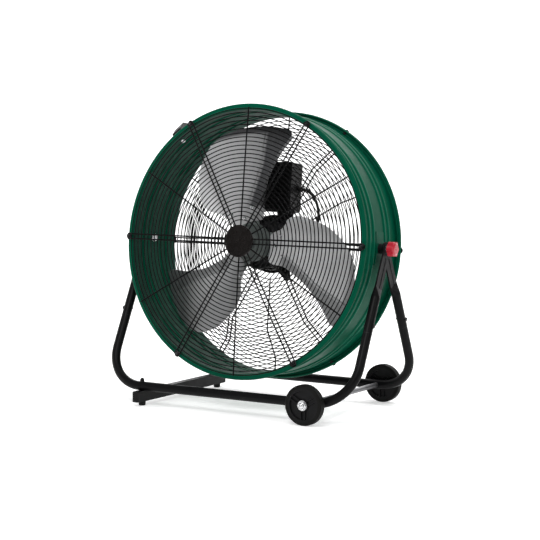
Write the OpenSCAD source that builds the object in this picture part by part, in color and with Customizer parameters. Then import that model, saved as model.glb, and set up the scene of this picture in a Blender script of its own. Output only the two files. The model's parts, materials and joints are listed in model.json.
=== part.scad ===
// Tilting drum fan on a wheeled tube stand. Millimetres, Z up, floor at z = 0.
// The fan blows towards -Y. X runs along the tilt pivots, wheels at +X.

/* [Drum] */
// Outer radius of the rolled rims
rim_r = 330; // [326:1:332]
// Depth of the drum from rim face to rim face
drum_d = 190; // [186:1:196]
// Inside radius of the drum wall
wall_r = 315.5; // [314:0.5:316]
// Thickness of the drum sheet
sheet = 1.2; // [1:0.1:1.4]
// Front raised from level at rest, in degrees
rest_tilt = 5.5; // [0:0.5:12]

/* [Stand] */
// Height of the tilt pivots above the floor
pivot_z = 395; // [390:1:400]
// Distance of each bottom rail from the middle, front to back
rail_y = 171; // [168:1:176]
// Height of the bottom rails and the axle
rail_z = 47; // [46:1:48]
// Distance of each leg's centreline from the middle
leg_x = 336; // [335:0.5:338]
// Outside diameter of the stand tube
tube_od = 22; // [21:0.5:23]
// Centreline radius of the bottom bends
bend_r = 95; // [85:1:100]

/* [Wheels and foot] */
// Distance of the wheels from the middle
wheel_x = 234; // [225:1:238]
// Wheel radius
wheel_r = 47; // [47:1:47]
// Distance of the foot crossbar from the middle
foot_x = 233; // [225:1:238]

/* [Guards] */
// Number of rings in the front guard
front_rings = 28; // [20:1:28]
// Number of rings in the rear guard
rear_rings = 26; // [20:1:26]
// Step between guard rings
ring_step = 9.9; // [9.8:0.1:10]
// Diameter of the spoke wire
spoke_d = 3.5; // [3:0.1:3.6]
// Diameter of the ring wire
ring_d = 2.5; // [2:0.1:2.6]
// Radius of the round badge
badge_r = 38.5; // [37:0.5:41]

/* [Impeller] */
// Radius of the blade tips
blade_r = 284; // [275:1:288]
// Pitch of the blades, in degrees
pitch = 23; // [20:1:24]
// Thickness of the blade sheet
blade_t = 1.8; // [1.5:0.1:2]

/* [Hidden] */
$fn = 72;

half_d = drum_d / 2;
tube_r = tube_od / 2;
tube_wall = 1.5;
leg_len = sqrt(rail_y * rail_y + (pivot_z - rail_z) * (pivot_z - rail_z));
lean = atan2(rail_y, pivot_z - rail_z);
joint_s = 211;                 // where the upper leg meets the lower tube, along the leg
strap_w = 32;
strap_t = 4;
strap_in = 331.6;              // inner face of the inner strap
strap_out = strap_in + strap_t + 0.2;
knob_x = strap_out + strap_t + 1.8;

bead_ys = [-50, -28.5, 28.5, 50];
bead_ro = 8;
bead_c = wall_r - 3.6;
curl_r = 4;
clip_r = wall_r + 6;

wire_r = spoke_d / 2;
rwire_r = ring_d / 2;
bend_bump = wire_r + 0.12;
ring_gap = wire_r + rwire_r + 0.05;
pin_half = 5.75;
loop_r = 323.5;
flat_y = -(half_d + rwire_r + ring_gap + 0.05);
dome_R = 9000;
dome_end = 305;
dome_c = flat_y + sqrt(dome_R * dome_R - dome_end * dome_end);
ring_r0 = wall_r + 3;

rear_y = half_d + rwire_r + ring_gap + 0.05;
dish_y = 50;
dish_r1 = 282;
dish_r2 = 212;
dish_len = sqrt((dish_r1 - dish_r2) * (dish_r1 - dish_r2) + (rear_y - dish_y) * (rear_y - dish_y));
plate_y = dish_y + wire_r + 0.05;
plate_t = 2.5;

box_x0 = -38;  box_x1 = 40;  box_z0 = 80;  box_z1 = 203;  box_y0 = plate_y + plate_t + 2.2;  box_y1 = 112;
box_split = 99;
sw_x = 1;  sw_z = 160;

handle_phi = 130;
handle_y = 66;

apex_y = -43;
blade_mid = 125;
arm_mid = 116;
cone_a = 77.5;              // half angle of the cone that the blades are rolled to
rise = -4.3;

// ---------- placing ----------
module in_drum() translate([0, 0, pivot_z]) rotate([-rest_tilt, 0, 0]) children();
module on_y() rotate([-90, 0, 0]) children();
module at_phi(a) rotate([0, -a, 0]) children();
module rod_x(r, x0, x1) translate([x0, 0, 0]) rotate([0, 90, 0]) cylinder(r = r, h = x1 - x0);
module rod_y(r, y0, y1) translate([0, y0, 0]) rotate([-90, 0, 0]) cylinder(r = r, h = y1 - y0);
module rrect(w, h, r) {
  translate([-w / 2 + r, -h / 2]) square([w - 2 * r, h]);
  translate([-w / 2, -h / 2 + r]) square([w, h - 2 * r]);
  for (i = [-1, 1], j = [-1, 1]) translate([i * (w / 2 - r), j * (h / 2 - r)]) circle(r);
}
module limb(p, q, r) {
  d = q - p;
  translate(p) circle(r);
  translate(q) circle(r);
  translate(p) rotate(atan2(d[1], d[0])) translate([0, -r]) square([norm(d), 2 * r]);
}

// ---------- stand ----------
// The leg frame has its origin on the pivot axis and runs down the leg along -Z.
module leg_frame(s) translate([0, 0, pivot_z]) rotate([s * lean, 0, 0]) children();

module u_solid(r, top, neck_r, shoulder) {
  translate([-(leg_x - bend_r), 0, -leg_len]) rotate([0, 90, 0]) cylinder(r = r, h = 2 * (leg_x - bend_r));
  for (i = [-1, 1]) mirror([i < 0 ? 1 : 0, 0, 0]) {
    translate([leg_x - bend_r, 0, -leg_len + bend_r]) rotate([90, 0, 0]) rotate([0, 0, -90])
      rotate_extrude(angle = 90) translate([bend_r, 0]) circle(r);
    translate([leg_x, 0, -leg_len + bend_r]) cylinder(r = r, h = leg_len - bend_r - joint_s - shoulder);
    translate([leg_x, 0, -joint_s - 5]) cylinder(r = neck_r, h = top + 5);
  }
}

module lower_tube(s) color([0.05, 0.05, 0.05]) difference() {
  leg_frame(s) difference() {
    u_solid(tube_r, 40, tube_r - tube_wall - 0.1, 0);
    u_solid(tube_r - tube_wall, 41, tube_r - 2 * tube_wall - 0.1, 3);
    for (i = [-1, 1]) translate([i * leg_x, 0, -joint_s + 20]) rotate([0, 90, 0]) cylinder(r = 2.6, h = 40, center = true);
  }
  translate([wheel_x, 0, rail_z]) rod_y(6.05, -250, 250);
  for (y = [-1, 1]) translate([-foot_x, y * rail_y, 0]) cylinder(r = 3.2, h = 100);
}
module front_lower_tube() lower_tube(-1);
module rear_lower_tube() lower_tube(1);

// One upper leg on the +X side: a tube that is pressed flat into a strap at the pivot.
module upper_leg_shape(x0) {
  difference() {
    union() {
      translate([leg_x, 0, -joint_s]) cylinder(r = tube_r, h = joint_s - 122);
      hull() {
        translate([leg_x, 0, -122.5]) cylinder(r = tube_r, h = 0.5, $fn = 32);
        translate([x0, -strap_w / 2, -99]) cube([strap_t, strap_w, 1]);
      }
      translate([x0, -strap_w / 2, -99]) cube([strap_t, strap_w, 99]);
      rod_x(strap_w / 2, x0, x0 + strap_t);
    }
    translate([leg_x, 0, -joint_s - 1]) cylinder(r = tube_r - tube_wall, h = joint_s - 126);
    rod_x(5.1, x0 - 1, x0 + strap_t + 1);
    // pressed groove down the strap
    translate([x0 + strap_t - 1, 0, 0]) {
      translate([0, -4, -96]) cube([3, 8, 70]);
      translate([0, 0, -26]) rotate([0, 90, 0]) cylinder(r = 4, h = 3);
      translate([0, 0, -96]) rotate([0, 90, 0]) cylinder(r = 4, h = 3);
    }
    translate([leg_x, 0, -joint_s + 20]) rotate([0, 90, 0]) cylinder(r = 2.6, h = 40, center = true);
  }
}
module front_right_upper_leg() color([0.05, 0.05, 0.05]) leg_frame(-1) upper_leg_shape(strap_out);
module front_left_upper_leg() color([0.05, 0.05, 0.05]) leg_frame(-1) mirror([1, 0, 0]) upper_leg_shape(strap_out);
module rear_right_upper_leg() color([0.05, 0.05, 0.05]) leg_frame(1) upper_leg_shape(strap_in);
module rear_left_upper_leg() color([0.05, 0.05, 0.05]) leg_frame(1) mirror([1, 0, 0]) upper_leg_shape(strap_in);

module leg_joint_screws() color([0.1, 0.1, 0.1])
  for (s = [-1, 1], i = [-1, 1]) leg_frame(s) mirror([i < 0 ? 1 : 0, 0, 0]) translate([leg_x, 0, -joint_s + 20]) {
    rod_x(2.5, -tube_r - 2, tube_r + 0.2);
    difference() {
      rod_x(4.6, tube_r + 0.1, tube_r + 3);
      translate([tube_r + 1.6, -0.6, -3.5]) cube([3, 1.2, 7]);
      translate([tube_r + 1.6, -3.5, -0.6]) cube([3, 7, 1.2]);
    }
  }

module foot_crossbar() color([0.05, 0.05, 0.05]) difference() {
  translate([-foot_x - 9, -rail_y - 25, 10]) cube([18, 2 * rail_y + 50, rail_z - tube_r - 10]);
  translate([-foot_x - 7.5, -rail_y - 26, 11.5]) cube([15, 2 * rail_y + 52, rail_z - tube_r - 13]);
  for (i = [-1, 1]) translate([-foot_x, i * rail_y, 0]) cylinder(r = 3.2, h = 60);
}

module crossbar_end_caps() color([0.04, 0.04, 0.04])
  for (i = [0, 1]) mirror([0, i, 0]) translate([-foot_x, rail_y + 25, (10 + rail_z - tube_r) / 2]) {
    rotate([-90, 0, 0]) linear_extrude(height = 3) rrect(18, 26, 2);
    translate([-7.4, -9, -11.4]) difference() {
      cube([14.8, 9.5, 22.8]);
      translate([1.6, -1, 1.6]) cube([11.6, 9, 19.6]);
    }
  }

module rubber_feet() color([0.03, 0.03, 0.03])
  for (i = [-1, 1]) translate([-foot_x, i * rail_y, 0]) difference() {
    rotate_extrude() polygon([[0, 0], [7.6, 0], [8.2, 0.8], [9, 9.95], [0, 9.95]]);
    translate([0, 0, 4]) cylinder(r = 3.02, h = 8);
  }

module foot_studs() color([0.7, 0.7, 0.7])
  for (i = [-1, 1]) translate([-foot_x, i * rail_y, 0]) {
    translate([0, 0, 4.1]) cylinder(r = 3, h = rail_z + tube_r + 1);
    difference() {
      translate([0, 0, rail_z + tube_r + 0.1]) union() {
        cylinder(r = 5.8, h = 4.4, $fn = 6);
        translate([0, 0, 4.4]) intersection() { sphere(4.7); cylinder(r = 6, h = 6); }
      }
      translate([0, 0, 30]) cylinder(r = 3.02, h = rail_z + tube_r - 30 + 6);
    }
  }

module wheel_axle() color([0.78, 0.78, 0.78]) translate([wheel_x, 0, rail_z]) rod_y(6, -rail_y - 45.5, rail_y + 45.5);

module axle_spacers() color([0.1, 0.1, 0.1])
  for (i = [0, 1]) mirror([0, i, 0]) translate([wheel_x, 0, rail_z]) difference() {
    rod_y(10, rail_y + tube_r + 0.1, rail_y + 19.7);
    rod_y(6.05, rail_y, rail_y + 30);
  }

module axle_cap_nuts() color([0.8, 0.8, 0.8])
  for (i = [0, 1]) mirror([0, i, 0]) translate([wheel_x, rail_y + 40.4, rail_z]) difference() {
    on_y() union() {
      cylinder(r = 11.5, h = 1.4);
      cylinder(r = 10.4, h = 6, $fn = 6);
      translate([0, 0, 5]) intersection() { sphere(7.6); cylinder(r = 9, h = 9); }
    }
    rod_y(6.03, -1, 5.4);
  }

module pivot_washers() color([0.75, 0.75, 0.75])
  for (i = [0, 1]) mirror([i, 0, 0]) translate([0, 0, pivot_z]) difference() {
    rod_x(12, strap_out + strap_t + 0.05, strap_out + strap_t + 1.55);
    rod_x(5.15, 330, 360);
  }

// ---------- drum ----------
module rim_half() {
  translate([ring_r0, -half_d + 3]) intersection() {
    difference() { circle(3); circle(3 - sheet); }
    translate([-3, -3]) square([3, 3]);
  }
  translate([ring_r0, -half_d]) square([rim_r - curl_r - ring_r0, sheet]);
  translate([rim_r - curl_r, -half_d + curl_r]) intersection() {
    difference() { circle(curl_r); circle(curl_r - sheet); }
    translate([0, -curl_r]) square([curl_r, 2 * curl_r]);
  }
}
module drum_profile() {
  difference() {
    union() {
      translate([wall_r, -half_d + 3]) square([sheet, 2 * half_d - 6]);
      for (b = bead_ys) translate([bead_c, b]) circle(bead_ro);
    }
    translate([wall_r - 60, -half_d]) square([60, 2 * half_d]);
    for (b = bead_ys) translate([bead_c, b]) circle(bead_ro - sheet);
  }
  rim_half();
  mirror([0, 1]) rim_half();
}
module drum_shell() color([0.02, 0.33, 0.24]) in_drum() difference() {
  on_y() rotate_extrude($fn = 144) drum_profile();
  rod_x(5.2, -340, 340);
  for (i = [-1, 1]) at_phi(handle_phi) translate([0, i * handle_y, 0]) rod_x(3.2, 300, 330);
  for (k = [0 : 5], i = [-1, 1]) at_phi(60 * k) translate([clip_r, 0, 0]) rod_y(2.2, i * half_d - 3, i * half_d + 3);
}

module pivot_doubler_plates() color([0.02, 0.3, 0.22]) in_drum() difference() {
  for (a = [0, 180]) on_y() rotate([0, 0, a - 7]) rotate_extrude(angle = 14, $fn = 144)
    translate([wall_r + sheet + 0.05, -19]) square([2.4, 38]);
  rod_x(5.2, -340, 340);
}

module pivot_bolts() color([0.78, 0.78, 0.78]) in_drum() for (i = [0, 1]) mirror([i, 0, 0]) {
  rod_x(5, wall_r - 1, knob_x + 12);
  translate([wall_r - 4.3, 0, 0]) rotate([0, 90, 0]) cylinder(r1 = 7.5, r2 = 10.5, h = 4);
}

module pivot_spacers() color([0.1, 0.1, 0.1]) in_drum() for (i = [0, 1]) mirror([i, 0, 0]) difference() {
  rod_x(12, wall_r + sheet + 2.5, strap_in - 0.15);
  rod_x(5.05, 300, 340);
}

// ---------- guards ----------
function dome_y(r) = dome_c - sqrt(dome_R * dome_R - r * r);
module dome_wire(r1, r2, off) {
  a1 = asin(r1 / dome_R);
  a2 = asin(r2 / dome_R);
  translate([0, dome_c, off]) rotate([0, 0, a1 - 90]) rotate_extrude(angle = a2 - a1)
    translate([dome_R, 0]) circle(wire_r);
}
module pin_loop(y) translate([loop_r, y, 0]) rotate([90, 0, 0]) rotate([0, 0, -90])
  rotate_extrude(angle = 180) translate([pin_half, 0]) circle(wire_r);
module ring(r, y, w) on_y() rotate_extrude($fn = 144) translate([r, y]) circle(w, $fn = 12);

module front_guard_rings() color([0.04, 0.04, 0.04]) in_drum()
  for (i = [0 : front_rings - 1]) let (r = ring_r0 - i * ring_step)
    ring(r, (r > dome_end ? flat_y : dome_y(r)) + ring_gap, rwire_r);

module front_guard_spokes() color([0.04, 0.04, 0.04]) in_drum() for (k = [0 : 5]) {
  at_phi(60 * k) union() {
    for (s = [-1, 1]) {
      dome_wire(26, dome_end, s * pin_half);
      translate([dome_end, flat_y, s * pin_half]) { sphere(bend_bump); rod_x(wire_r, 0, loop_r - dome_end); }
    }
    pin_loop(flat_y);
  }
  at_phi(60 * k + 30) union() {
    dome_wire(30, dome_end, 0);
    translate([dome_end, flat_y, 0]) { sphere(bend_bump); rod_x(wire_r, 0, ring_r0 + 1.5 - dome_end); }
  }
}

module badge_disc() color([0.03, 0.03, 0.03]) in_drum() translate([0, dome_y(0) - wire_r - 0.1, 0]) difference() {
  rotate([90, 0, 0]) rotate_extrude() polygon([[0, 0], [badge_r - 1, 0], [badge_r, 1], [badge_r, 4.6],
    [badge_r - 0.8, 5.4], [badge_r - 3, 5.4], [badge_r - 4, 4.2], [0, 4.2]]);
  rod_y(2.52, -2.6, 1);
}

module badge_back_plate() color([0.04, 0.04, 0.04]) in_drum() translate([0, dome_y(0) + ring_gap + rwire_r + 0.3, 0]) {
  difference() {
    rod_y(badge_r - 5, 0, 1.8);
    rod_y(2.6, -1, 3);
  }
  rod_y(2.5, -ring_gap - rwire_r - wire_r - 2.5, 1.9);
  rod_y(4.8, 1.85, 4.4);
}

// Clip over each doubled spoke end, with its screw through the rim.
module guard_clips(y0, y1) in_drum() for (k = [0 : 5]) at_phi(60 * k) difference() {
  translate([clip_r, (y0 + y1) / 2, 0]) rotate([90, 0, 0]) linear_extrude(height = abs(y1 - y0), center = true) rrect(9.5, 16.5, 2.5);
  translate([clip_r, 0, 0]) rod_y(2.1, min(y0, y1) - 1, max(y0, y1) + 1);
}
module guard_screws(s) in_drum() for (k = [0 : 5]) at_phi(60 * k) translate([clip_r, 0, 0]) mirror([0, s > 0 ? 1 : 0, 0]) {
  front = flat_y - wire_r - 1.65;
  rod_y(2, front - 1, -half_d + 6.5);
  difference() {
    union() { rod_y(3.8, front - 1.6, front - 0.05); translate([0, front - 1.6, 0]) rotate([90, 0, 0]) cylinder(r1 = 3.8, r2 = 2.4, h = 1.1); }
    rod_y(2.02, front - 0.9, front + 1);
    translate([-2.6, front - 4, -0.5]) cube([5.2, 2.6, 1]);
    translate([-0.5, front - 4, -2.6]) cube([1, 2.6, 5.2]);
  }
  difference() {
    translate([0, -half_d + sheet + 0.05, 0]) on_y() cylinder(r = 4, h = 3.2, $fn = 6);
    rod_y(2.02, -half_d, -half_d + 6);
  }
}
module front_guard_clips() color([0.05, 0.05, 0.05]) guard_clips(flat_y - wire_r - 1.6, flat_y - wire_r - 0.05);
module rear_guard_clips() color([0.05, 0.05, 0.05]) guard_clips(rear_y + wire_r + 0.05, rear_y + wire_r + 1.6);
module front_guard_screws() color([0.1, 0.1, 0.1]) guard_screws(-1);
module rear_guard_screws() color([0.1, 0.1, 0.1]) guard_screws(1);

// Rear guard: flat rim, a slope inwards, and a flat middle that carries the motor.
dish_n = [(rear_y - dish_y) / dish_len, -(dish_r1 - dish_r2) / dish_len];
function dish_pt(s) = s < ring_r0 - dish_r1 ? [ring_r0 - s, rear_y - ring_gap]
  : s < ring_r0 - dish_r1 + dish_len
    ? let (t = (s - ring_r0 + dish_r1) / dish_len)
      [dish_r1 + t * (dish_r2 - dish_r1), rear_y + t * (dish_y - rear_y)] + ring_gap * dish_n
    : [dish_r2 - (s - ring_r0 + dish_r1 - dish_len), dish_y - ring_gap];
module rear_guard_rings() color([0.04, 0.04, 0.04]) in_drum()
  for (i = [0 : rear_rings - 1]) let (p = dish_pt(i * ring_step)) ring(p[0], p[1], rwire_r);

module dish_wire(r_in, r_out) {
  a = atan2(rear_y - dish_y, dish_r1 - dish_r2);
  translate([0, dish_y, 0]) rod_x(wire_r, r_in, dish_r2);
  translate([dish_r2, dish_y, 0]) { sphere(bend_bump); rotate([0, 0, a]) rod_x(wire_r, 0, dish_len); }
  translate([dish_r1, rear_y, 0]) { sphere(bend_bump); rod_x(wire_r, 0, r_out - dish_r1); }
}
module rear_guard_spokes() color([0.04, 0.04, 0.04]) in_drum() for (k = [0 : 5]) {
  at_phi(60 * k) union() {
    for (s = [-1, 1]) translate([0, 0, s * pin_half]) dish_wire(78, loop_r);
    pin_loop(rear_y);
  }
  at_phi(60 * k + 30) dish_wire(85, ring_r0 + 1.5);
}

// ---------- motor ----------
arm_phi = [60, 180, 300];      // the three arms that reach the doubled spokes
module motor_mount_plate() color([0.05, 0.05, 0.05]) in_drum() difference() {
  union() {
    rod_y(72, plate_y, plate_y + plate_t);
    for (a = arm_phi) at_phi(a) {
      translate([0, plate_y + plate_t, 0]) rotate([90, 0, 0]) linear_extrude(height = plate_t) polygon([[40, -28], [91.5, -9], [91.5, 9], [40, 28]]);
      translate([91.5, 0, 0]) rod_y(9, plate_y, plate_y + plate_t);
    }
  }
  rod_y(50, 0, 100);
  for (a = arm_phi) at_phi(a) translate([91.5, 0, 0]) rod_y(2.6, 40, 70);
  for (k = [0 : 3]) at_phi(45 + 90 * k) translate([58, 0, 0]) rod_y(2.6, 40, 70);
  for (p = brk_fix) translate([p[0], 0, p[1]]) rod_y(2.1, 40, 70);
}

module mount_plate_screws() color([0.6, 0.6, 0.6]) in_drum() for (a = arm_phi) at_phi(a) translate([91.5, 0, 0]) {
  f = dish_y - ring_gap - rwire_r - 0.05;
  rod_y(2.5, f - 1, plate_y + plate_t + 5);
  difference() {
    union() { rod_y(7.5, f - 1.5, f); rod_y(4.4, f - 4.2, f - 1.4); }
    rod_y(2.52, f - 0.9, f + 1);
  }
  difference() {
    translate([0, plate_y + plate_t + 0.05, 0]) on_y() cylinder(r = 4.6, h = 3.9, $fn = 6);
    rod_y(2.52, 50, 70);
  }
}

module motor_front_bell() color([0.06, 0.06, 0.06]) in_drum() difference() {
  on_y() rotate_extrude() union() {
    polygon([[8.06, -29], [13, -29], [14, -28], [14, -25.5], [46.5, -25.5], [46.5, -21.5], [10, -21.5], [10, -12], [8.06, -12]]);
    translate([46, -7.5]) intersection() { difference() { circle(18); circle(14); } translate([0, -19]) square([19, 18.5]); }
  }
  for (k = [0 : 7]) at_phi(22.5 + 45 * k) translate([24, -30, -2.2]) cube([17, 8, 4.4]);
}

module motor_stator() color([0.08, 0.08, 0.08]) in_drum() difference() {
  union() {
    rod_y(62, -7.95, 25.95);
    for (k = [0 : 23]) at_phi(15 * k) translate([60, -7.95, -1.5]) cube([6, 33.9, 3]);
  }
  rod_y(30, -20, 40);
}

module motor_rear_bell() color([0.06, 0.06, 0.06]) in_drum() difference() {
  union() {
    on_y() rotate_extrude() polygon([[0, 26], [64, 26], [66, 28], [66, plate_y - 0.05], [49, plate_y - 0.05], [49, 66], [45, 71], [0, 71]]);
    translate([0, 63, 0]) rod_x(6.5, 40, 54);
  }
  on_y() rotate_extrude() polygon([[0, 25], [60, 25], [60, 46], [20, 46], [20, 64], [0, 64]]);
  for (k = [0 : 7]) at_phi(22.5 + 45 * k) translate([26, 40, -2]) cube([17, 40, 4]);
  for (k = [0 : 3]) at_phi(45 + 90 * k) translate([58, 0, 0]) rod_y(2.52, 44, 60);
  translate([0, 63, 0]) rod_x(3.6, 45, 60);
}

module motor_bolts() color([0.7, 0.7, 0.7]) in_drum() for (k = [0 : 3]) at_phi(45 + 90 * k) translate([58, 0, 0]) {
  difference() {
    union() { rod_y(2.5, 46.2, plate_y + plate_t + 1); translate([0, plate_y + plate_t + 0.05, 0]) on_y() cylinder(r = 4.6, h = 3.6, $fn = 6); }
    rod_y(2, plate_y + plate_t + 3, plate_y + plate_t + 9);
  }
}

// ---------- switch box ----------
module box_outline(inset) translate([(box_x0 + box_x1) / 2, (box_z0 + box_z1) / 2])
  rrect(box_x1 - box_x0 - 2 * inset, box_z1 - box_z0 - 2 * inset, 7 - inset);
module box_slab(y0, y1, inset) translate([0, y1, 0]) rotate([90, 0, 0]) linear_extrude(height = y1 - y0) box_outline(inset);
box_screw = [for (i = [-1, 1], j = [-1, 1]) [sw_x + i * 32, (box_z0 + box_z1) / 2 + j * 54.5]];
brk_fix = [[16, 64.5], [32, 64.5]];
box_fix = [for (z = [104, 180]) [sw_x, z]];

module box_bracket() color([0.05, 0.05, 0.05]) in_drum() difference() {
  translate([0, plate_y + plate_t + 2.1, 0]) rotate([90, 0, 0]) linear_extrude(height = 2) union() {
    translate([sw_x, 143]) rrect(56, 102, 5);
    translate([24, 79]) rrect(29, 46, 3);
  }
  for (p = box_fix) translate([p[0], 0, p[1]]) rod_y(2.1, 40, 70);
  for (p = brk_fix) translate([p[0], 0, p[1]]) rod_y(2.1, 40, 70);
  rod_y(50.5, 40, 70);
}
module box_bracket_screws() color([0.6, 0.6, 0.6]) in_drum() {
  for (p = brk_fix) translate([p[0], 0, p[1]]) difference() {
    union() { rod_y(2, plate_y + 0.05, plate_y + plate_t + 3); rod_y(3.8, plate_y + plate_t + 2.15, plate_y + plate_t + 4.6); }
    translate([-0.5, plate_y + plate_t + 3.6, -2.6]) cube([1, 3, 5.2]);
  }
  for (p = box_fix) translate([p[0], 0, p[1]]) {
    f = plate_y + plate_t + 0.05;
    rod_y(2, f - 0.1, f + 8);
    rod_y(3.8, f - 2.4, f);
  }
}

module switch_box_base() color([0.03, 0.03, 0.03]) in_drum() difference() {
  union() {
    difference() { box_slab(box_y0, box_split, 0); box_slab(box_y0 + 2.5, box_split + 1, 2.5); }
    for (p = box_screw) translate([p[0], 0, p[1]]) rod_y(4.6, box_y0 + 1, box_split);
    for (p = box_fix) translate([p[0], 0, p[1]]) rod_y(4.2, box_y0 + 1, box_y0 + 9);
  }
  for (p = box_screw) translate([p[0], 0, p[1]]) rod_y(1.82, box_split - 12, box_split + 1);
  for (p = box_fix) translate([p[0], 0, p[1]]) rod_y(2.02, box_y0 - 1, box_y0 + 7);
  translate([box_x1, 92, 138]) rod_x(6.1, -6, 6);
  translate([sw_x, 82, box_z0 - 4]) cylinder(r = 8.1, h = 10);
}
module switch_box_lid() color([0.03, 0.03, 0.03]) in_drum() difference() {
  union() {
    box_slab(box_split + 0.05, box_y1 - 2, 0);
    box_slab(box_y1 - 2.01, box_y1, 2);
    translate([sw_x, 0, sw_z]) rod_y(21, box_y1 - 1, box_y1 + 1);
  }
  difference() { box_slab(box_split - 1, box_y1 - 3, 2.5); for (p = box_screw) translate([p[0], 0, p[1]]) rod_y(4.6, 90, 120); }
  for (p = box_screw) translate([p[0], 0, p[1]]) { rod_y(1.9, 90, 120); rod_y(3.9, box_y1 - 2.6, 120); }
  translate([sw_x, 0, sw_z]) rod_y(5.2, 90, 120);
}
module switch_box_screws() color([0.5, 0.5, 0.5]) in_drum() for (p = box_screw) translate([p[0], 0, p[1]]) difference() {
  union() { rod_y(1.8, box_split - 11, box_y1 - 2); rod_y(3.5, box_y1 - 2.55, box_y1 - 0.4); }
  translate([-0.5, box_y1 - 1.4, -2.4]) cube([1, 3, 4.8]);
  translate([-2.4, box_y1 - 1.4, -0.5]) cube([4.8, 3, 1]);
}
module speed_switch() color([0.2, 0.2, 0.2]) in_drum() difference() {
  union() {
    translate([sw_x - 14, box_y1 - 31, sw_z - 14]) cube([28, 27.9, 28]);
    translate([sw_x, 0, sw_z]) rod_y(5, box_y1 - 4, box_y1 + 0.9);
  }
  translate([sw_x, 0, sw_z]) rod_y(3.08, box_y1 - 16, box_y1 + 3);
}
module speed_knob() color([0.04, 0.04, 0.04]) in_drum() translate([sw_x, box_y1, sw_z]) {
  rod_y(3, -15, 4);
  difference() {
    union() {
      on_y() rotate_extrude() polygon([[0, 1.3], [17, 1.3], [17.5, 1.8], [16.2, 5], [12.5, 6.2], [12.2, 15], [11.4, 16], [0, 16]]);
      translate([-17, 4, -3.4]) cube([34, 13.4, 6.8]);
    }
    difference() { rod_y(30, 0, 20); rod_y(17.5, -1, 21); }
    translate([10, 16.4, -0.6]) cube([8, 3, 1.2]);
  }
}
module lead_gland() color([0.05, 0.05, 0.05]) in_drum() translate([box_x1, 92, 138]) difference() {
  union() { rod_x(6, -5, 1); rotate([0, 90, 0]) translate([0, 0, 0.1]) cylinder(r = 9, h = 5, $fn = 6); translate([5, 0, 0]) rotate([0, 90, 0]) cylinder(r1 = 7.4, r2 = 5.4, h = 9); }
  rod_x(3.6, -6, 20);
}
module supply_gland() color([0.05, 0.05, 0.05]) in_drum() translate([sw_x, 82, box_z0]) difference() {
  union() { translate([0, 0, -1]) cylinder(r = 8, h = 6); translate([0, 0, -6.1]) cylinder(r = 10.5, h = 6, $fn = 6); translate([0, 0, -13]) cylinder(r1 = 6.6, r2 = 8.8, h = 7); }
  translate([0, 0, -14]) cylinder(r = 4.6, h = 24);
}

// The lead from the switch box to the motor, through points joined by a smooth curve.
lead_pts = [[38, 92, 138], [54, 92, 138], [68, 92, 135], [88, 91, 118], [101, 88, 94], [107, 83, 66], [104, 77, 42],
  [92, 70, 21], [74, 65, 7], [56, 63, 0], [46, 63, 0]];
function crv(p0, p1, p2, p3, t) = 0.5 * ((2 * p1) + (p2 - p0) * t + (2 * p0 - 5 * p1 + 4 * p2 - p3) * t * t + (3 * p1 - p0 - 3 * p2 + p3) * t * t * t);
function smooth(p, n) = [for (i = [1 : len(p) - 3], j = [0 : n - 1]) crv(p[i - 1], p[i], p[i + 1], p[i + 2], j / n)];
lead_path = concat([lead_pts[0]], smooth(lead_pts, 3), [lead_pts[len(lead_pts) - 2], lead_pts[len(lead_pts) - 1]]);
module seg3(p, q, r) {
  d = q - p;
  translate(p) rotate([0, acos(d[2] / norm(d)), atan2(d[1], d[0])]) cylinder(r = r, h = norm(d));
}
module motor_lead() color([0.03, 0.03, 0.03]) in_drum() union() {
  for (i = [0 : len(lead_path) - 2]) seg3(lead_path[i], lead_path[i + 1], 3.5);
  for (i = [1 : len(lead_path) - 2]) translate(lead_path[i]) sphere(3.58);
}

// ---------- handle ----------
module carry_handle() color([0.04, 0.04, 0.04]) in_drum() at_phi(handle_phi) difference() {
  translate([0, 0, -14]) linear_extrude(height = 28) union() {
    for (s = [-1, 1]) {
      translate([wall_r - 4, s * handle_y - 9]) square([16, 18]);
      limb([wall_r + 8, s * handle_y], [341, s * handle_y], 6);
      limb([341, s * handle_y], [360, s * 36], 6);
    }
    limb([360, -36], [360, 36], 6);
  }
  rod_y(wall_r + sheet + 0.1, -120, 120);
  for (s = [-1, 1]) translate([0, s * handle_y, 0]) rod_x(3.02, wall_r, 338);
  for (s = [-1, 1]) translate([366.5, 0, s * 5]) rod_y(2, -30, 30);
}
module handle_screws() color([0.8, 0.8, 0.8]) in_drum() at_phi(handle_phi) for (s = [-1, 1]) translate([0, s * handle_y, 0]) difference() {
  union() { rod_x(3, wall_r - 2, 336); translate([wall_r - 4.2, 0, 0]) rotate([0, 90, 0]) cylinder(r1 = 4, r2 = 6, h = 4); }
  translate([wall_r - 5, -0.6, -3.4]) cube([2.2, 1.2, 6.8]);
  translate([wall_r - 5, -3.4, -0.6]) cube([2.2, 6.8, 1.2]);
}

// ---------- impeller ----------
module motor_shaft() color([0.7, 0.7, 0.7]) in_drum() difference() {
  union() { rod_y(8, -73, 38); rod_y(28.5, -6, 24); rod_y(10.5, -11.6, -5); }
  translate([5.6, -74, -9]) cube([5, 14, 18]);
}

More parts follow.
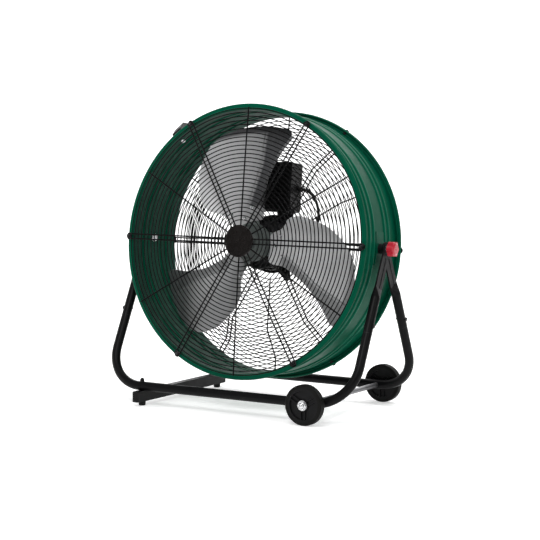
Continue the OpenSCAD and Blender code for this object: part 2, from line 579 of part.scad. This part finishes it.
// The blade surface is part of a cone with its apex near the hub.
module blade_cone(off) translate([0, apex_y, 0]) at_phi(blade_mid) rotate([0, 0, rise]) rotate([pitch, 0, 0]) rotate([0, 0, -cone_a])
  rotate([0, 90, 0]) translate([0, 0, off / sin(cone_a)]) cylinder(r1 = 0, r2 = 380 * sin(cone_a), h = 380 * cos(cone_a), $fn = 144);
ax1 = [cos(cone_a), -sin(cone_a) * cos(pitch), -sin(cone_a) * sin(pitch)];
ca2 = cos(cone_a) * cos(cone_a);
ax = [ax1[0] * cos(rise) - ax1[1] * sin(rise), ax1[0] * sin(rise) + ax1[1] * cos(rise), ax1[2]];
function cone_y(x, z) = let (k = x * ax[0] + z * ax[2], q = x * x + z * z, a = ax[1] * ax[1] - ca2, b = 2 * k * ax[1], c = k * k - ca2 * q,
  s = sqrt(b * b - 4 * a * c)) let (y1 = (-b + s) / (2 * a), y2 = (-b - s) / (2 * a)) abs(y1) < abs(y2) ? y1 : y2;
function unit(v) = v / norm(v);
function cone_n(v) = unit((v * ax) * ax - ca2 * v);

blade_edge = [[52, 92], [56, 76], [64, 72.5], [78, 78.5], [96, 85], [118, 86], [165, 85], [220, 81], [256, 77.6], [blade_r - 12, 76.6],
  [blade_r - 3, 78.8], [blade_r, 87], [blade_r - 0.5, 98], [blade_r - 4.5, 108], [blade_r - 13, 115.5], [256, 121.5], [240, 126], [215, 132.5], [168, 142.5], [142, 146.5], [124, 147], [110, 143.5], [94, 141], [76, 141], [60, 139], [51, 128], [50, 110]];
function polar(p) = [p[0] * cos(p[1]), p[0] * sin(p[1])];
function ring_curve(p, n) = let (m = len(p)) [for (i = [0 : m - 1], j = [0 : n - 1])
  crv(p[(i + m - 1) % m], p[i], p[(i + 1) % m], p[(i + 2) % m], j / n)];
module blade_plan() polygon(ring_curve([for (p = blade_edge) polar(p)], 5));
module over_y(h) rotate([90, 0, 0]) linear_extrude(height = h, center = true) children();

rivet_at = [[85, 99], [85, 133], [62, 116]];
function rivet_p(p) = let (x = p[0] * cos(p[1] - blade_mid), z = p[0] * sin(p[1] - blade_mid)) [x, cone_y(x, z), z];
module at_rivet(p) {
  v = rivet_p(p);
  n = cone_n(v);
  translate([0, apex_y, 0]) at_phi(blade_mid) translate(v) rotate([0, acos(n[2]), atan2(n[1], n[0])]) children();
}
module blade_shape() difference() {
  union() {
    difference() {
      intersection() { blade_cone(0); over_y(260) blade_plan(); }
      blade_cone(blade_t);
    }
    difference() {
      intersection() {
        translate([0, 13, 0]) blade_cone(0);
        over_y(260) intersection() {
          difference() { blade_plan(); translate([-1.8, 0]) blade_plan(); }
          translate([-20, 74]) square([120, 188]);
        }
      }
      blade_cone(blade_t * 0.5);
    }
  }
  for (p = rivet_at) at_rivet(p) cylinder(r = 2.42, h = 30, center = true);
}
module blade_1() color([0.62, 0.63, 0.64]) in_drum() blade_shape();
module blade_2() color([0.62, 0.63, 0.64]) in_drum() at_phi(120) blade_shape();
module blade_3() color([0.62, 0.63, 0.64]) in_drum() at_phi(240) blade_shape();

module blade_rivets() color([0.7, 0.7, 0.7]) in_drum() for (k = [0 : 2], p = rivet_at) at_phi(120 * k) at_rivet(p) union() {
  translate([0, 0, -4.6]) cylinder(r = 2.38, h = 8);
  translate([0, 0, -4.9]) cylinder(r = 4.4, h = 1.75);
  translate([0, 0, 2.1]) cylinder(r1 = 4.6, r2 = 2.6, h = 1.5);
}

module impeller_hub() color([0.45, 0.47, 0.46]) in_drum() difference() {
  union() {
    on_y() rotate_extrude() polygon([[8.02, -70], [15, -70], [16, -69], [16, -57], [20, -53.5], [38, -53.5], [41, -57], [45, -57], [46, -56], [46, -37], [45, -36], [8.02, -36]]);
    for (k = [0 : 2]) at_phi(120 * k) difference() {
      intersection() {
        blade_cone(-3);
        over_y(200) rotate(arm_mid) union() { translate([34, -29]) square([58, 58]); translate([92, 0]) circle(29); }
      }
      blade_cone(-0.03);
    }
  }
  rod_y(8.02, -90, 0);
  translate([0, -64.5, 0]) rod_x(2.6, 5, 30);
  for (k = [0 : 2], p = rivet_at) at_phi(120 * k) at_rivet(p) cylinder(r = 2.42, h = 30, center = true);
}
module hub_set_screw() color([0.3, 0.3, 0.3]) in_drum() translate([0, -64.5, 0]) difference() {
  rod_x(2.55, 8.3, 15.6);
  translate([14, 0, 0]) rotate([0, 90, 0]) cylinder(r = 1.5, h = 4, $fn = 6);
}

// ---------- wheels ----------
module wheel_frame(s) mirror([0, s < 0 ? 0 : 1, 0]) translate([wheel_x, -rail_y - 19.9, rail_z]) children();
module wheel_hub_shape() difference() {
  rod_y(38.5, -20, 0);
  rod_y(6.1, -30, 10);
  // recess on each face, leaving the boss, the rim and three pairs of ribs
  for (f = [0, 1]) translate([0, f ? -3.8 : -21, 0]) rotate([-90, 0, 0]) linear_extrude(height = 4.8) difference() {
    circle(34);
    circle(13);
    for (k = [0 : 2], s = [-1, 1]) rotate(90 + 120 * k) translate([8, s * 5 - 1.2]) square([30, 2.4]);
  }
}
module wheel_tyre_shape() on_y() rotate_extrude() difference() {
  union() { translate([38.5, -20]) square([5.5, 20]); translate([38.5, -17]) square([8.5, 14]); for (y = [-17, -3]) translate([44, y]) circle(3); }
  translate([30, -21]) square([8.5, 22]);
  for (y = [-13, -7]) translate([47, y]) circle(0.8);
}
module front_wheel_hub() color([0.05, 0.05, 0.05]) wheel_frame(-1) wheel_hub_shape();
module front_wheel_tyre() color([0.03, 0.03, 0.03]) wheel_frame(-1) wheel_tyre_shape();
module rear_wheel_hub() color([0.05, 0.05, 0.05]) wheel_frame(1) wheel_hub_shape();
module rear_wheel_tyre() color([0.03, 0.03, 0.03]) wheel_frame(1) wheel_tyre_shape();

// ---------- tilt knobs ----------
module tilt_knob_shape() in_drum() difference() {
  union() {
    rod_x(12.5, knob_x, knob_x + 3);
    rod_x(15, knob_x + 2, knob_x + 18);
    for (k = [0 : 5]) rotate([60 * k, 0, 0]) translate([0, 13.4, 0]) rod_x(5.3, knob_x + 3, knob_x + 17.5);
    translate([knob_x + 18, 0, 0]) rotate([0, 90, 0]) cylinder(r1 = 15, r2 = 11, h = 2.4);
  }
  rod_x(5.07, knob_x - 1, knob_x + 13);
}
module right_tilt_knob() color([0.75, 0.08, 0.12]) tilt_knob_shape();
module left_tilt_knob() color([0.75, 0.08, 0.12]) mirror([1, 0, 0]) tilt_knob_shape();

front_lower_tube();
rear_lower_tube();
front_left_upper_leg();
front_right_upper_leg();
rear_left_upper_leg();
rear_right_upper_leg();
leg_joint_screws();
foot_crossbar();
crossbar_end_caps();
rubber_feet();
foot_studs();
wheel_axle();
axle_spacers();
axle_cap_nuts();
pivot_washers();
drum_shell();
pivot_doubler_plates();
pivot_bolts();
pivot_spacers();
front_guard_rings();
front_guard_spokes();
badge_disc();
badge_back_plate();
front_guard_clips();
front_guard_screws();
rear_guard_rings();
rear_guard_spokes();
rear_guard_clips();
rear_guard_screws();
motor_mount_plate();
mount_plate_screws();
motor_front_bell();
motor_stator();
motor_rear_bell();
motor_bolts();
box_bracket();
box_bracket_screws();
switch_box_base();
switch_box_lid();
switch_box_screws();
speed_switch();
lead_gland();
supply_gland();
motor_lead();
carry_handle();
handle_screws();
motor_shaft();
impeller_hub();
blade_1();
blade_2();
blade_3();
blade_rivets();
hub_set_screw();
front_wheel_hub();
front_wheel_tyre();
rear_wheel_hub();
rear_wheel_tyre();
left_tilt_knob();
right_tilt_knob();
speed_knob();
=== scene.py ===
import bpy, json, math
from mathutils import Vector, Matrix

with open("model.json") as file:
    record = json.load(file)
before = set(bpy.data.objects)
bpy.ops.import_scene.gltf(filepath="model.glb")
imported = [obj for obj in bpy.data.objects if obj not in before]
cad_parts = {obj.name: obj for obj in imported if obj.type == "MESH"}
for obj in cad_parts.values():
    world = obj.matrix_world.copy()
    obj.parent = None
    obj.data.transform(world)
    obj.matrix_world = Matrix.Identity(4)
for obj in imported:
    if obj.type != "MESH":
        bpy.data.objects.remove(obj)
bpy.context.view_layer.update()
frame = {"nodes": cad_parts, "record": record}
N = frame["nodes"]
scene = bpy.context.scene
PIVOT = Vector((0, 0, 0.395))
TILT = math.radians(5.5)


# ------------------------------------------------------------ camera
def make_camera():
    az, el, roll = math.radians(30.448), math.radians(3.765), math.radians(0.509)
    back = Vector((math.sin(az) * math.cos(el), -math.cos(az) * math.cos(el), math.sin(el)))
    right = Vector((math.cos(az), math.sin(az), 0))
    up = back.cross(right)
    r2 = math.cos(roll) * right + math.sin(roll) * up
    u2 = -math.sin(roll) * right + math.cos(roll) * up
    cam = bpy.data.cameras.new("camera")
    cam.sensor_width = 36
    cam.lens = 1637.3 / 540 * 36
    cam.shift_x = (270 - 261.99) / 540
    cam.shift_y = (243.01 - 270) / 540
    cam.clip_end = 50
    ob = bpy.data.objects.new("camera", cam)
    m = Matrix((r2, u2, back)).transposed().to_4x4()
    m.translation = PIVOT + back * (12.06 * 0.33)
    ob.matrix_world = m
    scene.collection.objects.link(ob)
    scene.camera = ob


make_camera()


# ------------------------------------------------------------ node helpers
class Tree:
    def __init__(self, name):
        self.m = bpy.data.materials.new(name)
        self.m.use_nodes = True
        self.t = self.m.node_tree
        self.t.nodes.clear()
        self.out = self.t.nodes.new("ShaderNodeOutputMaterial")
        self.b = self.t.nodes.new("ShaderNodeBsdfPrincipled")
        self.t.links.new(self.b.outputs[0], self.out.inputs[0])
        self.co = self.t.nodes.new("ShaderNodeTexCoord").outputs["Object"]

    def link(self, a, b):
        self.t.links.new(a, b)

    def set(self, **k):
        for n, v in k.items():
            self.b.inputs[n.replace("_", " ")].default_value = v
        return self

    def noise(self, scale, detail=4, rough=0.55, vec=None, dist=0.0):
        n = self.t.nodes.new("ShaderNodeTexNoise")
        n.inputs["Scale"].default_value = scale
        n.inputs["Detail"].default_value = detail
        n.inputs["Roughness"].default_value = rough
        n.inputs["Distortion"].default_value = dist
        self.link(vec or self.co, n.inputs["Vector"])
        return n.outputs["Fac"]

    def ramp(self, fac, stops):
        r = self.t.nodes.new("ShaderNodeValToRGB")
        e = r.color_ramp.elements
        while len(e) > 1:
            e.remove(e[-1])
        e[0].position, e[0].color = stops[0][0], self.c4(stops[0][1])
        for p, c in stops[1:]:
            x = e.new(p)
            x.color = self.c4(c)
        self.link(fac, r.inputs[0])
        return r.outputs[0]

    @staticmethod
    def c4(c):
        return (c, c, c, 1) if isinstance(c, (int, float)) else (*c, 1) if len(c) == 3 else c

    def maprange(self, fac, a, b, c, d):
        n = self.t.nodes.new("ShaderNodeMapRange")
        for i, v in zip((1, 2, 3, 4), (a, b, c, d)):
            n.inputs[i].default_value = v
        self.link(fac, n.inputs[0])
        return n.outputs[0]

    def math(self, op, a, b=None, c=None):
        n = self.t.nodes.new("ShaderNodeMath")
        n.operation = op
        for i, v in enumerate((a, b, c)):
            if v is None:
                continue
            if isinstance(v, (int, float)):
                n.inputs[i].default_value = v
            else:
                self.link(v, n.inputs[i])
        return n.outputs[0]

    def mix(self, fac, a, b):
        n = self.t.nodes.new("ShaderNodeMix")
        n.data_type = "RGBA"
        for s, v in (("Factor", fac), ("A", a), ("B", b)):
            i = [q for q in n.inputs if q.name == s and (q.type == "RGBA" if s != "Factor" else q.type == "VALUE")][0]
            if isinstance(v, (int, float)) and s == "Factor":
                i.default_value = v
            elif isinstance(v, (tuple, list, int, float)):
                i.default_value = self.c4(v)
            else:
                self.link(v, i)
        return [q for q in n.outputs if q.type == "RGBA"][0]

    def bump(self, height, strength, dist=0.001, prev=None):
        n = self.t.nodes.new("ShaderNodeBump")
        n.inputs["Strength"].default_value = strength
        n.inputs["Distance"].default_value = dist
        self.link(height, n.inputs["Height"])
        if prev is not None:
            self.link(prev, n.inputs["Normal"])
        return n.outputs[0]

    def normal(self, n):
        self.link(n, self.b.inputs["Normal"])

    def color(self, c):
        self.link(c, self.b.inputs["Base Color"])

    def rough(self, r):
        self.link(r, self.b.inputs["Roughness"])

    def edge(self, radius=0.0012, lo=0.02, hi=0.16):
        """1 on sharp outer edges, 0 on flats, from the rounded normal against the true one."""
        bv = self.t.nodes.new("ShaderNodeBevel")
        bv.samples = 4
        bv.inputs["Radius"].default_value = radius
        ge = self.t.nodes.new("ShaderNodeNewGeometry")
        d = self.t.nodes.new("ShaderNodeVectorMath")
        d.operation = "DOT_PRODUCT"
        self.link(bv.outputs[0], d.inputs[0])
        self.link(ge.outputs["Normal"], d.inputs[1])
        return self.maprange(self.math("SUBTRACT", 1.0, d.outputs["Value"]), lo, hi, 0, 1)

    def drum_space(self):
        """Object coordinates turned into the fan's own axes: Y along the fan axis."""
        mp = self.t.nodes.new("ShaderNodeMapping")
        mp.vector_type = "TEXTURE"
        mp.inputs["Location"].default_value = PIVOT
        mp.inputs["Rotation"].default_value = (-TILT, 0, 0)
        self.link(self.co, mp.inputs[0])
        s = self.t.nodes.new("ShaderNodeSeparateXYZ")
        self.link(mp.outputs[0], s.inputs[0])
        x, y, z = s.outputs
        r = self.math("SQRT", self.math("ADD", self.math("MULTIPLY", x, x), self.math("MULTIPLY", z, z)))
        a = self.math("ARCTAN2", z, x)
        return mp.outputs[0], x, y, z, r, a

    def vec(self, x, y, z):
        c = self.t.nodes.new("ShaderNodeCombineXYZ")
        for i, v in enumerate((x, y, z)):
            if isinstance(v, (int, float)):
                c.inputs[i].default_value = v
            else:
                self.link(v, c.inputs[i])
        return c.outputs[0]


def painted(name, base, dark, rough=0.3, peel=0.10, coat=0.0, wear=0.0, metal=(0.25, 0.25, 0.26), dust=0.0, scale=1.0, spec=0.5):
    """Enamel or powder coat: slow colour drift, orange peel, dust in patches, paint thinned at the edges."""
    t = Tree(name)
    n1 = t.noise(7 * scale, 5)
    col = t.ramp(n1, [(0.3, dark), (0.7, base)])
    if dust:
        d = t.math("MULTIPLY", t.maprange(t.noise(23 * scale, 6, 0.7), 0.5, 0.78, 0, 1), dust)
        col = t.mix(d, col, (0.20, 0.20, 0.19))
    if wear:
        e = t.math("MULTIPLY", t.edge(), t.maprange(t.noise(60, 4), 0.42, 0.66, 0, wear))
        col = t.mix(e, col, metal)
    t.color(col)
    t.rough(t.maprange(t.noise(35 * scale, 6, 0.65), 0.3, 0.7, rough - 0.06, rough + 0.09))
    t.set(Metallic=0.0, Coat_Weight=coat, Coat_Roughness=0.09, IOR=1.5, Specular_IOR_Level=spec)
    b = t.bump(t.noise(900, 2), peel, 0.0004)
    b = t.bump(t.noise(160, 2), peel * 0.5, 0.0006, b)
    t.normal(b)
    return t.m


def metal(name, base, rough=0.25, aniso=0.0, tint=(0.55, 0.55, 0.56)):
    t = Tree(name)
    n = t.noise(45, 5, 0.6)
    t.color(t.ramp(n, [(0.25, tint), (0.75, base)]))
    t.rough(t.maprange(t.noise(240, 4, 0.6), 0.3, 0.7, rough - 0.07, rough + 0.12))
    t.set(Metallic=1.0)
    t.normal(t.bump(t.noise(700, 3), 0.08, 0.0003))
    return t.m


def plastic(name, base, rough=0.45, grain=0.15, gscale=1500, coat=0.0, sss=0.0, spec=0.5):
    t = Tree(name)
    n = t.noise(18, 5)
    lo = tuple(c * 0.8 for c in base)
    hi = tuple(min(1, c * 1.18 + 0.002) for c in base)
    t.color(t.ramp(n, [(0.3, lo), (0.7, hi)]))
    t.rough(t.maprange(t.noise(80, 5), 0.3, 0.7, rough - 0.05, rough + 0.1))
    t.set(Metallic=0.0, Coat_Weight=coat, Coat_Roughness=0.12, IOR=1.49, Specular_IOR_Level=spec)
    if sss:
        t.set(Subsurface_Weight=sss)
        t.b.inputs["Subsurface Radius"].default_value = (0.004, 0.001, 0.001)
        t.b.inputs["Subsurface Scale"].default_value = 0.6
    t.normal(t.bump(t.noise(gscale, 3), grain, 0.0003))
    return t.m


M = {}
def drum_paint():
    """Gloss enamel outside; the inside is a darker green that is painted shade, with dust from the air stream."""
    t = Tree("drum_green_enamel_painted_light")
    co, x, y, z, r, a = t.drum_space()
    inside = t.maprange(r, 0.3163, 0.3151, 0.0, 1.0)
    n1 = t.noise(7, 5)
    out = t.ramp(n1, [(0.3, (0.0, 0.056, 0.029)), (0.7, (0.0, 0.074, 0.039))])
    # painted shade: the inside colour is a darker copy of the green, standing in for the shade inside the drum
    inside_shade_and_dust = t.ramp(n1, [(0.3, (0.0, 0.030, 0.018)), (0.7, (0.001, 0.042, 0.025))])
    # dust drawn out along the flow on the inside
    flow = t.noise(1.0, 5, 0.6, vec=t.vec(t.math("MULTIPLY", a, 60.0), t.math("MULTIPLY", y, 9.0), 0.0))
    inside_shade_and_dust = t.mix(t.maprange(flow, 0.55, 0.8, 0.0, 0.06), inside_shade_and_dust, (0.06, 0.08, 0.07))
    col = t.mix(inside, out, inside_shade_and_dust)
    # painted highlight: lighter green on the crests of the swaged beads and on the rolled rims
    crest_painted_highlight = t.maprange(r, 0.3190, 0.3202, 0.0, 1.0)
    crest_painted_highlight = t.math("MULTIPLY", crest_painted_highlight, t.maprange(r, 0.3212, 0.3206, 0.0, 0.55))
    col = t.mix(crest_painted_highlight, col, (0.012, 0.18, 0.105))
    t.color(col)
    t.rough(t.math("ADD", t.maprange(t.noise(35, 6, 0.65), 0.3, 0.7, 0.33, 0.43), t.math("MULTIPLY", inside, 0.22)))
    t.set(Metallic=0.0, Coat_Weight=0.0, IOR=1.5, Specular_IOR_Level=0.08)
    t.b.inputs["Specular Tint"].default_value = (0.45, 1.0, 0.78, 1)
    b = t.bump(t.noise(900, 2), 0.04, 0.0004)
    t.normal(t.bump(t.noise(120, 2), 0.03, 0.0006, b))
    return t.m


M["drum"] = drum_paint()
M["stand"] = painted("black_powder_coat", (0.0050, 0.0050, 0.0055), (0.0030, 0.0030, 0.0033), rough=0.34, peel=0.12, wear=0.2, spec=0.085)
M["guard"] = painted("guard_wire_coat", (0.0030, 0.0030, 0.0032), (0.0018, 0.0018, 0.0020), rough=0.38, peel=0.06, spec=0.09)
M["hardware"] = painted("black_oxide", (0.008, 0.008, 0.0085), (0.0045, 0.0045, 0.005), rough=0.36, peel=0.1, wear=0.6, metal=(0.22, 0.22, 0.23), spec=0.14)
M["motor"] = painted("motor_enamel", (0.0050, 0.0050, 0.0055), (0.0030, 0.0030, 0.0033), rough=0.42, peel=0.12, spec=0.12)
M["hub"] = painted("hub_cast_grey", (0.125, 0.145, 0.138), (0.085, 0.100, 0.094), rough=0.38, peel=0.22, wear=0.5, metal=(0.42, 0.43, 0.43), spec=0.5)
M["zinc"] = metal("zinc_plate", (0.83, 0.84, 0.85), 0.2)
M["axle"] = metal("axle_zinc_dull", (0.26, 0.26, 0.27), 0.34, tint=(0.12, 0.12, 0.125))
M["plastic"] = plastic("black_moulded", (0.0042, 0.0042, 0.0046), 0.42, 0.16, spec=0.14)
M["badge"] = plastic("badge_gloss", (0.0042, 0.0030, 0.0026), 0.24, 0.02, coat=0.05, spec=0.16)
M["red"] = plastic("knob_red", (0.50, 0.012, 0.030), 0.30, 0.05, coat=0.4, sss=0.12)
M["rubber"] = plastic("foot_rubber", (0.008, 0.008, 0.008), 0.7, 0.3, 900, spec=0.18)
M["tyre"] = plastic("tyre_black", (0.0045, 0.0045, 0.0040), 0.50, 0.2, 1100, spec=0.10)
M["lead"] = plastic("lead_sheath", (0.005, 0.005, 0.005), 0.42, 0.08, 1400, spec=0.16)


def blade_metal(k):
    """Satin sheet with painted light. k is the blade's place round the hub and also picks its painted brightness; the
    strip along the leading edge is rolled back, and its darkening is painted shade, with a crease bump.
    """
    t = Tree("blade_satin_%d" % k)
    co, x, y, z, r, a = t.drum_space()
    fine = t.noise(1.0, 4, 0.6, vec=t.vec(t.math("MULTIPLY", a, 420.0), t.math("MULTIPLY", r, 26.0), 0.0))
    slow = t.noise(9, 5, 0.6)
    # the blade's own plane coordinates: u along its leading edge, v away from it into the blade
    ang = math.radians(93.0 + 120 * (k - 1))
    ca, sa = math.cos(ang), math.sin(ang)
    u = t.math("ADD", t.math("MULTIPLY", x, ca), t.math("MULTIPLY", z, sa))
    v = t.math("ADD", t.math("MULTIPLY", x, -sa), t.math("MULTIPLY", z, ca))
    # leading edge in these coordinates runs from v -0.012 near the root to v -0.068 at the tip
    lead = t.maprange(u, 0.06, 0.27, -0.013, -0.066)
    w = t.math("SUBTRACT", v, lead)
    bend = t.math("MULTIPLY", t.maprange(u, 0.19, 0.275, 0.0, 1.0), 0.016)
    width = t.math("ADD", 0.034, bend)
    # painted shade: mask of the rolled-back strip along the leading edge, which is coloured darker
    painted_shade_band = t.maprange(t.math("SUBTRACT", w, width), -0.0035, 0.0035, 1.0, 0.0)
    # painted shade: the blade tip is darkened as well
    tip = t.maprange(r, 0.2635, 0.2715, 0.0, 1.0)
    painted_shade_band = t.math("MAXIMUM", painted_shade_band, tip)
    painted_shade_band = t.math("MULTIPLY", painted_shade_band, t.maprange(u, 0.078, 0.092, 0.0, 1.0))
    # painted light: each blade gets its own brightness level for how it is lit, though all three are one finish
    blade_light_level = (0.0, 0.70, 0.76, 1.04)[k]
    light = t.mix(t.maprange(fine, 0.3, 0.7, 0.0, 1.0), t.ramp(slow, [(0.3, (0.37 * blade_light_level, 0.372 * blade_light_level, 0.376 * blade_light_level)), (0.7, (0.45 * blade_light_level, 0.452 * blade_light_level, 0.457 * blade_light_level))]),
                  t.ramp(slow, [(0.3, (0.46 * blade_light_level, 0.462 * blade_light_level, 0.466 * blade_light_level)), (0.7, (0.54 * blade_light_level, 0.542 * blade_light_level, 0.548 * blade_light_level))]))
    # painted shade colours for the leading-edge strip; blade 1's are much darker than the others
    d0, d1 = ((0.045, 0.046, 0.048), (0.085, 0.086, 0.09)) if k == 1 else ((0.18, 0.182, 0.184), (0.25, 0.252, 0.256))
    dark = t.mix(t.maprange(fine, 0.3, 0.7, 0.0, 1.0), d0, d1)
    # painted shade: the blade colour darkens towards the tip
    shade = t.maprange(r, 0.13, 0.27, 0.0, 0.42)
    light = t.mix(shade, light, (0.19, 0.192, 0.195))
    t.color(t.mix(painted_shade_band, light, dark))
    t.rough(t.math("ADD", t.maprange(fine, 0.25, 0.75, 0.30, 0.44), t.math("MULTIPLY", painted_shade_band, 0.06)))
    t.set(Metallic=0.8)
    crease = t.maprange(t.math("ABSOLUTE", t.math("SUBTRACT", w, t.math("ADD", width, 0.005))), 0.0, 0.0022, 1.0, 0.0)
    crease = t.math("MULTIPLY", crease, t.maprange(u, 0.085, 0.10, 0.0, 1.0))
    b = t.bump(crease, 0.6, 0.0016)
    t.normal(t.bump(fine, 0.08, 0.0004, b))
    return t.m


for _k in (1, 2, 3):
    M["blade_%d" % _k] = blade_metal(_k)
M["blade"] = M["blade_1"]

SLOT = {"stand_black": "stand", "black_hardware": "hardware", "zinc": "zinc", "black_plastic": "plastic", "foot_rubber": "rubber",
        "lead_rubber": "lead", "tyre_black": "tyre", "drum_green": "drum", "guard_black": "guard", "motor_black": "motor",
        "blade_alu": "blade", "knob_red": "red", "hub_grey": "hub"}
node_slot = {s["node"]: s["material_slot"] for s in frame["record"]["subparts"]}


def dress(obj, mat):
    me = obj.data
    me.materials.clear()
    me.materials.append(mat)


for n, o in N.items():
    dress(o, M[SLOT[node_slot[n]]])
dress(N["badge_disc"], M["badge"])
for _k in (1, 2, 3):
    dress(N["blade_%d" % _k], M["blade_%d" % _k])
dress(N["impeller_hub"], M["hub"])
for _n in ("foot_studs", "mount_plate_screws", "motor_bolts", "box_bracket_screws"):
    dress(N[_n], M["hardware"])
dress(N["wheel_axle"], M["axle"])


# ------------------------------------------------------------ stage and light
def floor():
    import bmesh
    bm = bmesh.new()
    rows = []
    prof = [(-45.0, 0), (2.6, 0)] + [(2.6 + 1.2 * math.sin(math.radians(i * 9)), 1.2 - 1.2 * math.cos(math.radians(i * 9))) for i in range(1, 11)] + [(3.8, 6)]
    for (y, z) in prof:
        rows.append([bm.verts.new((x, y, z)) for x in (-40, 40)])
    for p, q in zip(rows, rows[1:]):
        bm.faces.new((p[0], p[1], q[1], q[0]))
    me = bpy.data.meshes.new("floor")
    bm.to_mesh(me)
    ob = bpy.data.objects.new("floor", me)
    for f in me.polygons:
        f.use_smooth = True
    ob.rotation_euler = (0, 0, math.radians(30))
    t = Tree("floor_pale")
    t.color(t.ramp(t.noise(3, 3), [(0.3, (0.80, 0.80, 0.80)), (0.7, (0.83, 0.83, 0.83))]))
    t.set(Roughness=0.85, Specular_IOR_Level=0.2, Emission_Strength=0.46)
    t.b.inputs["Emission Color"].default_value = (1, 1, 1, 1)
    me.materials.append(t.m)
    scene.collection.objects.link(ob)


floor()


def area(name, loc, target, size, power, color=(1, 1, 1), sy=None):
    l = bpy.data.lights.new(name, "AREA")
    l.energy = power
    l.color = color
    l.shape = "RECTANGLE"
    l.size = size
    l.size_y = sy or size
    o = bpy.data.objects.new(name, l)
    o.location = loc
    d = Vector(target) - Vector(loc)
    o.rotation_euler = d.to_track_quat("-Z", "Y").to_euler()
    scene.collection.objects.link(o)


area("key_top", (0.5, -2.4, 2.9), (0, 0, 0.35), 1.6, 62)
area("fill_left", (-3.0, -1.6, 1.2), (0, 0, 0.4), 1.2, 16, sy=1.8)
area("right_strip", (2.6, -1.0, 2.0), (0.3, 0, 0.45), 0.25, 12, sy=1.8)
area("back_wash", (0.4, 1.2, 3.2), (-1.2, 3.4, 0.8), 2.4, 120)

w = bpy.data.worlds.new("world")
scene.world = w
w.use_nodes = True
w.node_tree.nodes["Background"].inputs[0].default_value = (1, 1, 1, 1)
w.node_tree.nodes["Background"].inputs[1].default_value = 0.30
scene.view_settings.view_transform = "Standard"
scene.view_settings.look = "None"
scene.view_settings.exposure = 0.0

# a plain white surround far behind the floor, seen by the camera only, so that no view shows the edge of the backdrop
def surround():
    import bmesh
    bm = bmesh.new()
    bmesh.ops.create_icosphere(bm, subdivisions=4, radius=34.0)
    bmesh.ops.reverse_faces(bm, faces=bm.faces[:])
    me = bpy.data.meshes.new("surround")
    bm.to_mesh(me)
    bm.free()
    m = bpy.data.materials.new("surround_white")
    m.use_nodes = True
    nt = m.node_tree
    nt.nodes.clear()
    out = nt.nodes.new("ShaderNodeOutputMaterial")
    em = nt.nodes.new("ShaderNodeEmission")
    em.inputs["Color"].default_value = (1, 1, 1, 1)
    em.inputs["Strength"].default_value = 0.86
    nt.links.new(em.outputs[0], out.inputs["Surface"])
    me.materials.append(m)
    o = bpy.data.objects.new("surround", me)
    bpy.context.scene.collection.objects.link(o)
    o.visible_diffuse = o.visible_glossy = o.visible_transmission = o.visible_volume_scatter = o.visible_shadow = False


surround()
